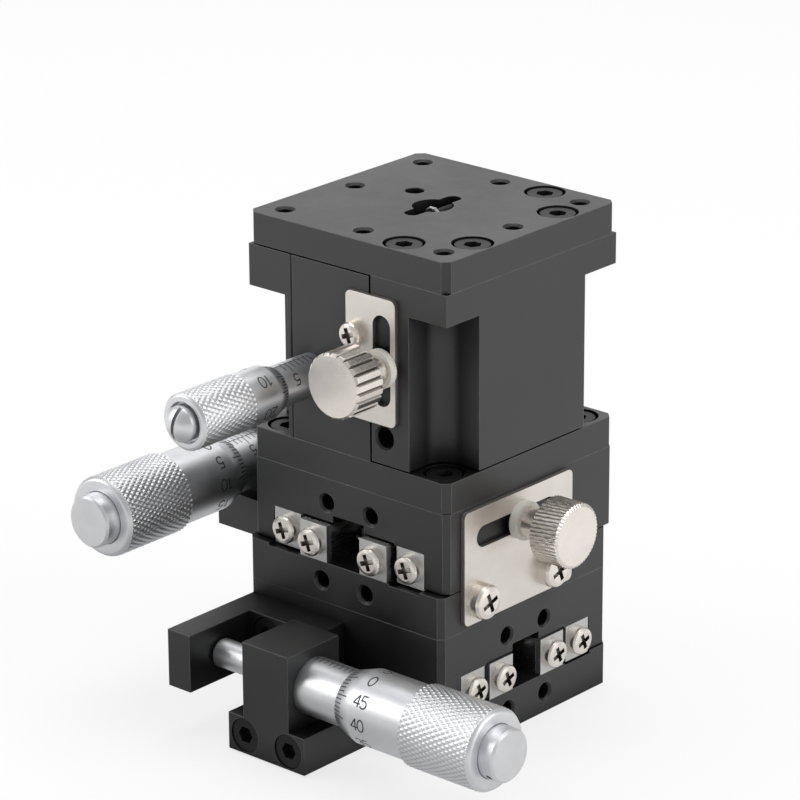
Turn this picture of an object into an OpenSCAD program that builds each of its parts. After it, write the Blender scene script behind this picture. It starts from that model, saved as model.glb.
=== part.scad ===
// Three-axis linear stage: two crossed-roller stages at a right angle and a vertical lift on top,
// each with a micrometer head and a lock plate with a thumbscrew. Millimetres, +Z up.
// The origin is the centre of the underside. The X micrometer lies in front of the -Y face.

/* [Blocks] */
// Side of the square blocks and plates
stage_w = 40; // [39:0.5:44]
// Height of one horizontal stage
stage_h = 20; // [19.5:0.1:22]
// Thickness of a stage's fixed lower block
base_t = 6.8; // [6.7:0.1:7.2]
// Gap between a stage's fixed block and its table
slide_gap = 0.2; // [0.1:0.05:0.3]
// Chamfer on the upright corners of the blocks
block_chamfer = 0.9; // [0.5:0.1:1.2]
// Distance of the corner screws from the sides
bolt_inset = 4; // [3.9:0.05:4.2]
// Spacing of the two tapped holes in each side face
pair_span = 9; // [8.5:0.1:9.5]
// Height of the side holes in the fixed block
base_pair_z = 3.45; // [3.4:0.05:3.5]
// Distance of the side holes in the table below its top
table_pair_drop = 4.1; // [3.6:0.1:4.5]
// Depth of the side holes, without the drill's cone
pair_depth = 5.5; // [5.5:0.5:6.5]
// Width of the countersink of the tapped holes
hole_sink = 0.4; // [0.2:0.1:0.4]

/* [Rest position] */
// Where the X table stands from the middle of its travel
x_rest = -0.25; // [-4:0.25:4]
// Where the Y table stands from the middle of its travel
y_rest = 1.3; // [-4:0.05:4]

/* [Rails and rollers] */
// Width of one rail
rail_w = 5.5; // [5.3:0.1:5.6]
// Height of a rail
rail_h = 6; // [5.8:0.1:6]
// Gap between the two rails of a pair
rail_gap = 1; // [0.9:0.05:1.1]
// Distance from the middle to the inner rail
rail_in = 3.4; // [3.3:0.1:3.6]
// Gap above and below a rail that passes a block
rail_clear = 0.3; // [0.2:0.05:0.4]
// Diameter of a roller
roller_d = 2; // [1.8:0.1:2]
// Play between a roller and its groove, on each side
roller_play = 0.04; // [0.02:0.01:0.06]
// Distance between rollers
roller_pitch = 3; // [2.8:0.1:3.2]
// Number of rollers in each horizontal cage
roller_count = 8; // [6:1:8]
// Number of rollers in each upright cage
z_roller_count = 5; // [4:1:5]
// Thickness of the cage strip
cage_t = 0.6; // [0.5:0.05:0.7]
// Height of the cage strip
cage_h = 4.6; // [4.2:0.1:4.8]
// Thickness of the stop plates at the rail ends
stop_t = 1; // [0.8:0.1:1.2]
// Width of the stop plates
stop_w = 5.5; // [5:0.1:5.8]

/* [Screws] */
// Diameter of a cap screw's thread, as drawn
cap_thread_d = 2.4; // [2.3:0.05:2.5]
// Diameter of a tapped hole
tap_d = 2.5; // [2.5:0.05:2.7]
// Diameter of a cap screw's clearance hole
cap_clear_d = 3.4; // [3.2:0.1:3.6]
// Diameter of a cap screw's head
cap_head_d = 5.5; // [5.3:0.1:5.6]
// Height of a cap screw's head
cap_head_h = 3; // [2.8:0.1:3.1]
// Width across the flats of a cap screw's socket
cap_socket = 2.5; // [2.3:0.1:2.7]
// Diameter of the counterbores in the top plate and the lift's base plate
plate_bore_d = 6.5; // [6.3:0.1:6.6]
// Diameter of the counterbores in the fixed blocks and the arm
block_bore_d = 6; // [5.9:0.05:6.1]
// Depth of every counterbore
bore_depth = 3.2; // [3.15:0.05:3.4]
// Length of the common cap screws under the head
cap_screw_l = 8; // [7.5:0.5:8]
// Length of the bracket's cap screws under the head
bracket_screw_l = 20; // [19:0.5:20]
// Diameter of a pan screw's thread, as drawn
pan_thread_d = 1.9; // [1.7:0.05:1.95]
// Diameter of a pan screw's tapped hole
pan_tap_d = 2; // [2:0.05:2.1]
// Diameter of the screw heads on the stop plates
stop_head_d = 4.5; // [4.2:0.1:4.6]
// Height of those heads
stop_head_h = 1.5; // [1.3:0.1:1.8]
// Diameter of the screw heads on the upright lock plate
small_head_d = 4; // [3.8:0.1:4.2]
// Height of those heads
small_head_h = 1.6; // [1.3:0.1:1.8]
// Diameter of the screw heads on the horizontal lock plates
lock_head_d = 5.6; // [5.2:0.1:5.8]
// Height of those heads
lock_head_h = 2.3; // [1.8:0.1:2.5]
// Length of a pan screw under the head
pan_screw_l = 3.5; // [3.2:0.1:3.6]
// Length of the cross in a pan screw's head, as a share of the head
cross_share = 0.6; // [0.5:0.05:0.65]
// Width of the cross
cross_w = 0.75; // [0.6:0.05:0.9]
// Depth of the cross
cross_depth = 0.9; // [0.6:0.1:1.1]
// Depth of the tapped holes in the tops of the tables
top_tap_depth = 6.8; // [6.5:0.1:7]

/* [Micrometer bracket and arm] */
// How far the bracket stands out from the block
bracket_l = 18.15; // [17.5:0.05:18.5]
// Width of the bracket's foot
bracket_w = 15.7; // [15.5:0.1:17]
// Height of the bracket's foot
bracket_foot_h = 6.1; // [6.1:0.1:6.3]
// Gap under the bracket
bracket_lift = 0.4; // [0.2:0.1:0.4]
// Width of the bracket's upper block
bracket_block_w = 9.4; // [9:0.1:10]
// Depth of the bracket's upper block
bracket_block_d = 11.5; // [11:0.1:11.7]
// Height of the bracket's top above the stage's underside
bracket_top = 19; // [18.6:0.1:19.2]
// Height of the micrometer's axis above the stage's underside
head_z = 12.65; // [12.4:0.05:12.9]
// Thickness of the arm's finger
arm_t = 4.6; // [4.2:0.1:5]
// Height of the arm
arm_h = 9.45; // [9.3:0.05:9.7]
// Height of the arm's underside above the stage's underside
arm_z = 8; // [7.8:0.1:8.2]
// How far the arm's finger stands out from the table
arm_l = 19.35; // [18.5:0.05:20]
// Gap between the arm's finger and the bracket at the end of the travel
arm_room = 3.3; // [3:0.1:3.5]
// Gap between the arm's foot and the bracket
arm_gap = 0.9; // [0.7:0.1:1.1]
// Length of the arm's foot past the finger
arm_foot_l = 14.5; // [14:0.1:15]
// Distance from the table's middle to the arm's far screw
arm_screw_far = 11; // [10.8:0.1:11.2]
// Distance from the table's middle to the arm's near screw
arm_screw_near = 4; // [3.8:0.1:4.2]
// Distance of the arm's screws below its top
arm_screw_drop = 3.3; // [3.2:0.05:3.6]
// Gap between a spindle's tip and the arm
tip_gap = 0.05; // [0.02:0.01:0.1]

/* [Micrometer heads of X and Y] */
// Travel of the head
head_travel = 13; // [12:0.5:13]
// Sleeve left bare when the head is screwed right in
head_margin = 2.3; // [1.5:0.1:2.6]
// Sleeve still held by the thimble when the head is screwed right out
head_hold = 8.6; // [7:0.1:9]
// Diameter of the spindle
spindle_d = 4.6; // [4.2:0.1:5]
// Diameter of the sleeve's shank in the bracket
shank_d = 6.5; // [6.2:0.1:7.5]
// Diameter of the graduated sleeve
sleeve_d = 9.1; // [8.6:0.1:9.3]
// Diameter of the thimble
thimble_d = 11.9; // [11.6:0.1:12.3]
// Diameter of the thimble's knurled part
knurl_d = 13.1; // [12.8:0.1:13.6]
// Length of the thimble's graduated bevel
bevel_l = 3.5; // [3:0.1:4]
// Length from the thimble's edge to its knurl
plain_l = 13.8; // [13:0.1:15]
// Room in the thimble past the sleeve's end when the head is screwed right in
thimble_room = 4.2; // [3:0.1:4.4]
// Diameter of the end cap
cap_d = 8.4; // [7.6:0.1:8.6]
// Length of the end cap outside the thimble
cap_l = 2.7; // [2.4:0.1:4]
// Thickness of the thimble's end wall
thimble_wall = 2; // [1.6:0.1:2.4]
// Radius of the thimble's rounded end
end_round = 0.8; // [0.6:0.1:1]

/* [Micrometer head of Z] */
// Travel of the lift
lift_travel = 6.5; // [6:0.1:6.5]
// Sleeve left bare when the head is screwed right in
z_margin = 2.5; // [2.5:0.1:3]
// Sleeve still held by the thimble when the head is screwed right out
z_hold = 5; // [4.5:0.1:6]
// Distance of the head's axis from the middle, towards -X
z_head_x = 7.2; // [7.1:0.05:7.3]
// Height of the head's axis above the lift's base
z_head_z = 16.45; // [16.2:0.05:16.8]
// Diameter of the spindle
z_spindle_d = 3.5; // [3.2:0.1:3.8]
// Diameter of the sleeve's shank in the block
z_shank_d = 6; // [5.6:0.1:6.2]
// Diameter of the graduated sleeve
z_sleeve_d = 6.7; // [6.5:0.1:6.9]
// Diameter of the thimble
z_thimble_d = 8.6; // [8.4:0.1:8.8]
// Diameter of the thimble's knurled part
z_knurl_d = 9; // [8.9:0.1:9.2]
// Length of the thimble's graduated bevel
z_bevel_l = 2.2; // [1.8:0.1:2.6]
// Length from the thimble's edge to its knurl
z_plain_l = 7.7; // [7:0.1:8.4]
// Room in the thimble past the sleeve's end when the head is screwed right in
z_thimble_room = 4.4; // [3.9:0.1:4.6]
// Diameter of the domed end screw
z_end_screw_d = 5.6; // [5.2:0.1:5.8]
// How far the end screw's rim stands out of the thimble
z_end_screw_l = 1; // [0.6:0.1:1.4]
// Height of the end screw's dome
z_dome_h = 1.5; // [1:0.1:1.8]
// Width of the end screw's slot
z_end_slot = 0.6; // [0.5:0.1:0.8]
// Thickness of the thimble's end wall
z_thimble_wall = 3.2; // [3:0.1:3.6]
// Radius of the thimble's rounded end
z_end_round = 0.5; // [0.4:0.1:0.7]

/* [Lift] */
// Height of the lift, over both plates
lift_h = 40; // [40:0.5:42]
// Thickness of the lift's base plate and top plate
plate_t = 5; // [5:0.1:5.4]
// Gap above the fixed blocks and below the carriage
lift_gap = 0.25; // [0.2:0.05:0.3]
// Chamfer on the upright corners of the plates
plate_chamfer = 1.1; // [0.8:0.1:1.4]
// Seam between the side block and the fixed block, towards -X
seam_x = 11.3; // [11.2:0.05:11.5]
// Chamfer of both blocks along the seam
seam_chamfer = 0.2; // [0.1:0.05:0.3]
// The fixed block's face towards the carriage
fixed_face_x = 4.6; // [4.5:0.05:4.65]
// The carriage's face towards the fixed block
carriage_face_x = 5; // [4.95:0.05:5.1]
// Side of the notches at the carriage's corners
notch = 7.5; // [7.3:0.1:7.6]
// Side of the notches at the side block's corners
side_notch = 7.9; // [7.5:0.1:8.1]
// Radius inside a notch
notch_r = 3.5; // [3:0.1:4]
// Thickness of the carriage's flange
carriage_flange = 5; // [4.5:0.1:6]
// Thickness of the side block's flange
side_flange = 6.75; // [6:0.05:7.5]
// Where the upright rails start above the lift's base
z_rail_z = 6; // [6:0.1:6.5]
// Gap between the upright rails and the top plate
z_rail_gap = 1; // [1:0.1:1.5]
// Distance of the four top screws from the plate's sides
top_screw_inset = 3.5; // [3.4:0.1:3.6]
// The two top screws near the seam, along X
top_screw_x = 8.6; // [8.4:0.1:8.8]
// The two top screws near the edge, along Y
top_screw_y = 10; // [9.8:0.1:10.2]
// The two screws that hold the fixed block from below, along X
block_screw_x = -3.6; // [-3.8:0.1:-3.4]
// The two screws that hold the side block from below, along Y
block_screw_y = 6; // [5.8:0.1:6.2]
// Extra hole in the carriage's front face, along X
spare_hole_x = 7.5; // [7.3:0.1:7.7]
// Height of the extra hole above the lift's base
spare_hole_z = 9.5; // [9.3:0.1:9.7]
// Diameter of the extra hole
spare_hole_d = 3.2; // [3:0.1:3.5]
// Depth of the extra hole
spare_hole_depth = 3.5; // [3:0.5:4]

/* [Lever] */
// Length of both arms of the bell-crank
lever_arm = 10; // [9.8:0.1:10.2]
// Radius of the arms' rounded noses
nose_r = 1.8; // [1.7:0.05:1.9]
// Width of the lever along its pin
lever_w = 4.6; // [4.2:0.1:4.8]
// Gap between the lever and its pocket, on each side
lever_play = 0.3; // [0.2:0.05:0.35]
// Diameter of the lever's pin
lever_pin_d = 2; // [1.8:0.1:2.2]
// Gap where the spindle and the lift screw meet the lever
lever_gap = 0.1; // [0.08:0.01:0.15]
// Where the lift screw stands along Y
lift_screw_y = 4; // [3.8:0.1:4.2]
// Diameter of the lift screw
lift_screw_d = 2.9; // [2.7:0.05:2.95]
// How far the lift screw's top lies below the top plate's face
lift_screw_drop = 2.5; // [2:0.1:3]

/* [Lock plates and knobs] */
// Thickness of the lock plates
lock_t = 0.8; // [0.7:0.1:0.9]
// Radius of the lock plates' corners
lock_r = 1; // [0.6:0.1:1.2]
// Height of a horizontal lock plate
lock_h = 18.5; // [18:0.1:18.8]
// Material past a horizontal plate's slot, both ends together
lock_over = 7; // [6.8:0.1:7.4]
// Material past a horizontal plate's slot at the end near its screw
lock_end = 2.8; // [2.6:0.1:3]
// Where the horizontal plate starts above the stage's underside
lock_z = 1; // [0.8:0.1:1.2]
// Width of the slots
slot_w = 3.5; // [3.3:0.1:3.7]
// Play at the slots' ends, over the travel
slot_play = 2.2; // [1.8:0.1:2.4]
// The knob's place along the table, from its middle
lock_x = 3.35; // [3.2:0.05:3.5]
// The knob's height above the stage's underside
lock_knob_z = 14.75; // [14.5:0.05:14.9]
// The plate's outer screw along the block, from its middle
lock_screw_out = 12.1; // [11.9:0.1:12.1]
// The plate's inner screw, on the other side of the middle
lock_screw_in = 4.6; // [4.4:0.1:4.8]
// Height of the plate screws above the stage's underside
lock_screw_z = 4.6; // [4.4:0.1:4.7]
// Width of the upright lock plate
z_lock_w = 9.85; // [9.6:0.05:10.2]
// Height of the upright lock plate
z_lock_h = 20.2; // [20:0.1:21]
// Where the upright plate starts above the lift's base
z_lock_z = 11.9; // [11.6:0.1:12.2]
// The upright plate's edge along X
z_lock_x = 0.6; // [0.5:0.05:0.7]
// The upright slot's middle along X
z_slot_x = 7.76; // [7.7:0.02:7.9]
// The upright slot's lower end
z_slot_z = 14.9; // [14.8:0.05:15]
// Length of the upright slot
z_slot_l = 14.5; // [14.4:0.05:14.7]
// Height of the Z knob above the lift's base
z_knob_z = 21.1; // [20.9:0.05:21.1]
// The upright plate's screws, along X
z_plate_screw_x = 2.35; // [2.3:0.05:2.4]
// Height of the upright plate's upper screw
z_plate_screw_high = 25.4; // [25.2:0.1:25.6]
// Height of the upright plate's lower screw
z_plate_screw_low = 17.6; // [17.4:0.1:17.8]
// Diameter of a knob's stud
stud_d = 2.9; // [2.7:0.05:2.95]
// Diameter of the stud's tapped hole
stud_tap_d = 3; // [3:0.05:3.1]
// Depth of a stud in its table
stud_depth = 4; // [3.5:0.1:4]
// Diameter of the nylon washers
washer_d = 6.2; // [5.8:0.1:6.3]
// Thickness of the nylon washers
washer_t = 1.3; // [1:0.1:1.4]
// Diameter of a knob's neck
neck_d = 4.9; // [4.6:0.1:5.2]
// Length of a knob's neck
neck_l = 4.15; // [3.8:0.05:4.4]
// Diameter of a knob's head
knob_d = 10.4; // [10.2:0.1:10.5]
// Length of a knob's head
knob_l = 5.5; // [5:0.1:6]
// Number of grooves round the lift's knob
knob_grooves = 22; // [16:1:24]
// Depth of the grooves
groove_depth = 0.45; // [0.3:0.05:0.6]

/* [Return springs] */
// Mean radius of the coils
coil_r = 1.9; // [1.8:0.05:2]
// Diameter of the wire
wire_d = 0.6; // [0.5:0.05:0.6]
// Turns of a horizontal spring
coil_turns = 16; // [12:1:18]
// Turns of the upright spring
z_coil_turns = 22; // [16:1:24]
// Diameter of the posts and pins that hold the springs
post_d = 1.8; // [1.6:0.1:1.9]
// Distance of the posts from the middle of their blocks
post_x = 14.5; // [14:0.1:15]
// Height of the horizontal springs above the stage's underside
spring_z = 10.2; // [10:0.1:10.4]
// Straight stretch between a post and the coils
lead_l = 3; // [2.6:0.1:3.4]
// Diameter of the upright spring's bore
spring_bore_d = 6; // [5.8:0.1:6.2]
// Diameter of the opening in the top plate
top_hole_d = 6.5; // [6.4:0.1:7]
// Length of the slots for the pins
pin_slot_l = 12; // [11:0.5:13]
// Width of the slots for the pins
pin_slot_w = 2.6; // [2.4:0.1:3]
// Depth of the slots for the pins
pin_slot_depth = 2.6; // [2.4:0.1:2.8]

/* [Hidden] */
$fn = 48;
eps = 0.01;
black_anodised = [0.17, 0.17, 0.18];
dark_steel = [0.12, 0.12, 0.12];
rail_steel = [0.62, 0.62, 0.6];
satin_steel = [0.8, 0.8, 0.81];
nickel = [0.85, 0.82, 0.77];
nylon_white = [0.93, 0.93, 0.91];
cage_brass = [0.72, 0.6, 0.35];

half_w = stage_w / 2;
bolt = half_w - bolt_inset;
drill_tip = 0.3 * tap_d;
bore_sink = 0.3;
rail_out = rail_in + rail_w + rail_gap;
gap_mid = rail_in + rail_w + rail_gap / 2;
pocket_half = rail_out + rail_w + slide_gap;
rail_z = base_t - slide_gap;
rail_l = stage_w - 2 * stop_t;
table_z = base_t + slide_gap;
table_h = stage_h - table_z;
channel_half = rail_in - slide_gap;
channel_top = 1.5;
channel_z = rail_z + rail_h + channel_top;
stop_y = [rail_in + rail_w / 2, rail_out + rail_w / 2];
groove_side = roller_d + 2 * roller_play;
travel = head_travel / 2;
shank_play = 0.02;
run_play = 0.05;
post_over = 1.6;
socket_depth = 1.6;

head_y = half_w + bracket_l - bracket_block_d / 2;
arm_x = bracket_block_w / 2 + travel + arm_room;
foot_t = bracket_l - bracket_block_d - arm_gap;
arm_screw_x = [arm_screw_far, arm_screw_near];
arm_screw_z = arm_z + arm_h - arm_screw_drop;
edge_x = bracket_block_w / 2 + travel + head_margin;
edge_wall = 0.25;
knurl_step = 0.4;
dish_depth = 0.3;
sleeve_end_x = edge_x + travel + head_hold;
thimble_l = head_travel + head_hold + thimble_wall + thimble_room;

z_edge = half_w + lift_travel + z_margin;
z_edge_wall = 0.2;
z_recess = 1;
z_sleeve_end = z_edge + z_hold;
z_thimble_l = lift_travel + z_hold + z_thimble_wall + z_thimble_room;
block_top = lift_h - plate_t - lift_gap;
z_mid_x = (fixed_face_x + carriage_face_x) / 2 - 0.05;
z_rail_x = z_mid_x - rail_h / 2;
z_rail_l = lift_h - plate_t - z_rail_z - z_rail_gap;
top_edge = half_w - top_screw_inset;
top_screws = [[top_screw_x, top_edge], [top_edge, top_screw_y]];
block_screws = [[block_screw_x, bolt], [-bolt, block_screw_y]];
block_tap_depth = cap_screw_l + bore_depth - plate_t + 0.2;

lever_tilt = asin(lift_travel / 2 / lever_arm);
lever_y = lift_screw_y - lever_arm;
lever_z = z_head_z + lever_arm;
nose_y = lever_y - lift_travel / 2;
tip_y = nose_y - nose_r - lever_gap;
lift_tip_z = lever_z - lift_travel / 2 + nose_r + lever_gap;
lever_hub_r = 2.8;
lever_bar = 2.8;
pocket_front = nose_y - nose_r - 1.75;
pocket_back = lift_screw_y + 4;
pocket_z = z_head_z - 3.5;
pocket_w = lever_w + 2 * lever_play;
pin_span = seam_x - z_head_x + pocket_w / 2 + 2;

slot_l = head_travel + slot_w + slot_play;
lock_screw_x = [lock_screw_out, -lock_screw_in];
z_plate_screw_z = [z_plate_screw_high, z_plate_screw_low];
pin_low = post_d / 2 + wire_d + 0.3;
pin_high = lift_h - pin_slot_depth + post_d / 2;

// Frames: each stage is drawn with its travel along X and its micrometer in front of -Y.
// The Y stage is the same stage turned a quarter turn clockwise, seen from above.
module x_moving() { translate([x_rest, 0, 0]) children(); }
module x_halfway() { translate([x_rest / 2, 0, 0]) children(); }
module y_fixed() { translate([x_rest, 0, stage_h]) rotate([0, 0, -90]) children(); }
module y_moving() { translate([x_rest, y_rest, stage_h]) rotate([0, 0, -90]) children(); }
module y_halfway() { translate([x_rest, y_rest / 2, stage_h]) rotate([0, 0, -90]) children(); }
module lift() { translate([x_rest, y_rest, 2 * stage_h]) children(); }

// Turns a shape drawn along +Z so that it runs along +X, +Y or -Y
module to_x() { rotate([0, 90, 0]) children(); }
module to_y() { rotate([-90, 0, 0]) children(); }
module to_front() { rotate([90, 0, 0]) children(); }

module both_sides() {
    for (side = [-1, 1]) scale_y(side) children();
}
module scale_y(side) {
    mirror([0, side < 0 ? 1 : 0, 0]) children();
}
module both_ends() {
    for (turn = [0, 180]) rotate([0, 0, turn]) children();
}

module block(w, h, chamfer) {
    a = w / 2;
    b = a - chamfer;
    linear_extrude(h) polygon([
        [b, -a], [a, -b], [a, b], [b, a], [-b, a], [-a, b], [-a, -b], [-b, -a]
    ]);
}

// A blind or through hole downwards from z = 0, with a small countersink
module tapped_hole(d, depth, sink = hole_sink) {
    translate([0, 0, -depth]) cylinder(d = d, h = depth + eps);
    if (sink > 0)
        translate([0, 0, -sink]) cylinder(d1 = d, d2 = d + 2 * sink + 2 * eps, h = sink + eps);
}

module corners() {
    for (x = [-bolt, bolt], y = [-bolt, bolt]) translate([x, y, 0]) children();
}

// The two side holes of one face, for the faces at the given turns, with the drill's cone at their end
module side_holes(z, turns, depth) {
    for (turn = turns, x = [-pair_span / 2, pair_span / 2])
        rotate([0, 0, turn]) translate([x, -half_w, z]) to_front() {
            tapped_hole(tap_d, depth);
            translate([0, 0, -depth - drill_tip]) cylinder(d1 = 0, d2 = tap_d, h = drill_tip + eps);
        }
}

// Screws: the head stands above z = 0 and the thread runs down from it
module cap_screw(length) {
    difference() {
        union() {
            cylinder(d = cap_head_d, h = cap_head_h);
            translate([0, 0, -length]) cylinder(d = cap_thread_d, h = length + eps);
        }
        translate([0, 0, cap_head_h - socket_depth])
            cylinder(d = cap_socket / cos(30), h = socket_depth + 1, $fn = 6);
    }
}

module pan_screw(head_d, head_h) {
    rim = head_d / 2;
    crown = 0.3 * head_h;
    cross_l = cross_share * head_d;
    difference() {
        union() {
            rotate_extrude() polygon([
                [0, 0], [rim, 0], [rim, head_h - crown], [rim - 0.4 * crown, head_h - 0.35 * crown],
                [rim - 1.4 * crown, head_h], [0, head_h]
            ]);
            translate([0, 0, -pan_screw_l]) cylinder(d = pan_thread_d, h = pan_screw_l + eps);
        }
        for (turn = [20, 110]) rotate([0, 0, turn])
            translate([-cross_l / 2, -cross_w / 2, head_h - cross_depth])
            cube([cross_l, cross_w, cross_depth + 1]);
    }
}

// Crossed-roller rails

module rail(y, length, groove_y) {
    difference() {
        translate([-length / 2, y, 0]) cube([length, rail_w, rail_h]);
        translate([-length / 2 - 1, groove_y, rail_h / 2]) rotate([45, 0, 0])
            translate([0, -groove_side / 2, -groove_side / 2])
                cube([length + 2, groove_side, groove_side]);
        both_ends() translate([length / 2 + eps, 0, 0]) end_hole(y);
    }
}
module end_hole(y) {
    for (side = [-1, 1]) translate([0, side * (y + rail_w / 2), rail_h / 2])
        rotate([0, 90, 0]) translate([0, 0, -pan_screw_l]) cylinder(d = pan_tap_d, h = pan_screw_l);
}
module rails(inner, length) {
    both_sides() rail(inner ? rail_in : rail_out, length, gap_mid);
}

// Two cage strips with their crossed rollers, along X, at the height of the rails' middle
module roller_cages(count) {
    strip_l = count * roller_pitch + 2;
    for (side = [-1, 1]) translate([0, side * gap_mid, 0]) {
        difference() {
            translate([-strip_l / 2, -cage_t / 2, -cage_h / 2]) cube([strip_l, cage_t, cage_h]);
            rollers(count, 0.05);
        }
        rollers(count, 0);
    }
}
module rollers(count, play) {
    r = roller_d / 2 + play;
    h = roller_d - 0.1 + 2 * play;
    for (i = [0 : count - 1])
        translate([(i - (count - 1) / 2) * roller_pitch, 0, 0])
            rotate([i % 2 == 0 ? 45 : -45, 0, 0]) translate([0, 0, -h / 2]) cylinder(r = r, h = h);
}

module stops(inner) {
    y = stop_y[inner ? 0 : 1];
    both_ends() for (side = [-1, 1]) translate([rail_l / 2, side * y, rail_z]) difference() {
        translate([0, -stop_w / 2, 0]) cube([stop_t, stop_w, rail_h]);
        translate([-1, 0, rail_h / 2]) to_x() cylinder(d = pan_tap_d, h = stop_t + 2);
    }
}
module stop_screws(inner) {
    y = stop_y[inner ? 0 : 1];
    both_ends() for (side = [-1, 1])
        translate([rail_l / 2 + stop_t, side * y, rail_z + rail_h / 2]) to_x()
            pan_screw(stop_head_d, stop_head_h);
}

// One horizontal stage

module stage_base() {
    difference() {
        block(stage_w, base_t, block_chamfer);
        both_sides() translate([-stage_w, gap_mid, rail_z - rail_clear])
            cube([2 * stage_w, pocket_half - gap_mid, base_t]);
        translate([-stage_w, -gap_mid - eps, rail_z]) cube([2 * stage_w, 2 * gap_mid + 2 * eps, base_t]);
        corners() {
            translate([0, 0, -1]) cylinder(d = cap_clear_d, h = base_t + 2);
            translate([0, 0, base_t - bore_sink - bore_depth]) cylinder(d = block_bore_d, h = base_t);
        }
        side_holes(base_pair_z, [90, 270], pair_depth);
        side_holes(base_pair_z, [0], bracket_screw_l + bore_depth - bracket_l + 0.3);
        for (x = lock_screw_x) translate([x, half_w, lock_screw_z]) to_y()
            tapped_hole(pan_tap_d, pan_screw_l - lock_t + 0.1, 0);
    }
    translate([post_x, 0, rail_z - 1]) cylinder(d = post_d, h = spring_z + post_over - rail_z + 1);
}

module stage_table() {
    difference() {
        translate([0, 0, table_z]) block(stage_w, table_h, block_chamfer);
        translate([-stage_w, -pocket_half, 0]) cube([2 * stage_w, 2 * pocket_half, rail_z + rail_h]);
        translate([-stage_w, -gap_mid, 0]) cube([2 * stage_w, 2 * gap_mid, rail_z + rail_h + rail_clear]);
        translate([-stage_w, -channel_half, 0]) cube([2 * stage_w, 2 * channel_half, channel_z]);
        corners() translate([0, 0, stage_h]) tapped_hole(tap_d, top_tap_depth);
        side_holes(stage_h - table_pair_drop, [90, 270], pair_depth);
        for (x = arm_screw_x) translate([-x, -half_w, arm_screw_z]) to_front()
            tapped_hole(tap_d, cap_screw_l + bore_depth - foot_t + 0.2, 0);
        translate([lock_x, half_w, lock_knob_z]) to_y() tapped_hole(stud_tap_d, stud_depth + 0.2, 0);
    }
    translate([-post_x, 0, spring_z - post_over])
        cylinder(d = post_d, h = channel_z - spring_z + post_over + 1);
}

module bracket() {
    front = -half_w - bracket_l;
    difference() {
        union() {
            translate([-bracket_w / 2, front, bracket_lift]) cube([bracket_w, bracket_l, bracket_foot_h]);
            translate([-bracket_block_w / 2, front, bracket_lift])
                cube([bracket_block_w, bracket_block_d, bracket_top - bracket_lift]);
        }
        translate([-bracket_w, -head_y, head_z]) to_x() cylinder(d = shank_d + shank_play, h = 2 * bracket_w);
        for (x = [-pair_span / 2, pair_span / 2]) translate([x, front, base_pair_z]) to_y() {
            translate([0, 0, -1]) cylinder(d = cap_clear_d, h = bracket_l + 2);
            translate([0, 0, -1]) cylinder(d = bracket_bore_d(), h = bore_depth + 1);
        }
    }
}
// The bracket's counterbores stay inside its low foot
function bracket_bore_d() = min(block_bore_d, bracket_foot_h - 0.5);

module bracket_screws() {
    for (x = [-pair_span / 2, pair_span / 2])
        translate([x, -half_w - bracket_l + bore_depth, base_pair_z]) to_front() cap_screw(bracket_screw_l);
}

module arm() {
    finger_x = -arm_x - arm_t;
    difference() {
        union() {
            translate([finger_x, -half_w - arm_l, arm_z]) cube([arm_t, arm_l, arm_h]);
            translate([finger_x, -half_w - foot_t, arm_z]) cube([arm_t + arm_foot_l, foot_t, arm_h]);
        }
        for (x = arm_screw_x) translate([-x, -half_w - foot_t, arm_screw_z]) to_y() {
            translate([0, 0, -1]) cylinder(d = cap_clear_d, h = foot_t + 2);
            translate([0, 0, -1]) cylinder(d = block_bore_d, h = bore_depth + 1);
        }
    }
}
module arm_screws() {
    for (x = arm_screw_x)
        translate([-x, -half_w - foot_t + bore_depth, arm_screw_z]) to_front() cap_screw(cap_screw_l);
}
module corner_screws() {
    corners() translate([0, 0, base_t - bore_sink - bore_depth]) cap_screw(cap_screw_l);
}

// The sleeve and what turns on it, drawn along +Z from the bracket's middle

module head_axis() { translate([0, -head_y, head_z]) to_x() children(); }

module sleeve() {
    face = bracket_block_w / 2;
    head_axis() difference() {
        union() {
            translate([0, 0, -face]) cylinder(d = shank_d, h = 2 * face + eps);
            translate([0, 0, face]) cylinder(d = sleeve_d, h = sleeve_end_x - face);
        }
        translate([0, 0, -face - 1]) cylinder(d = spindle_d + 2 * run_play, h = sleeve_end_x + face + 2);
    }
}
module spindle() {
    from = -arm_x + tip_gap;
    to = edge_x + thimble_l - thimble_wall - 0.1;
    head_axis() {
        translate([0, 0, from]) cylinder(d1 = spindle_d - 0.8, d2 = spindle_d, h = 0.4);
        translate([0, 0, from + 0.4]) cylinder(d = spindle_d, h = to - from - 0.4);
    }
}
// A thimble whose graduated edge is at z = 0 and whose blind end, with a rounded edge, is at z = length
module thimble_shape(edge_d, body_d, grip_d, bore_d, bevel, plain, length, wall, round) {
    grip = grip_d / 2;
    rotate_extrude() polygon(concat(
        [[bore_d / 2, 0], [edge_d / 2, 0], [body_d / 2, bevel], [body_d / 2, plain], [grip, plain + knurl_step]],
        [for (a = [0, 30, 60, 90]) [grip - round + round * cos(a), length - round + round * sin(a)]],
        [[0, length], [0, length - wall], [bore_d / 2, length - wall]]
    ));
}
module thimble() {
    head_axis() translate([0, 0, edge_x]) difference() {
        thimble_shape(sleeve_d + 2 * edge_wall, thimble_d, knurl_d, sleeve_d + 2 * run_play, bevel_l, plain_l,
                      thimble_l, thimble_wall, end_round);
        translate([0, 0, thimble_l - dish_depth])
            cylinder(d1 = cap_d + 0.6, d2 = knurl_d - 2 * end_round - 0.4, h = dish_depth + eps);
    }
}
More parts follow.
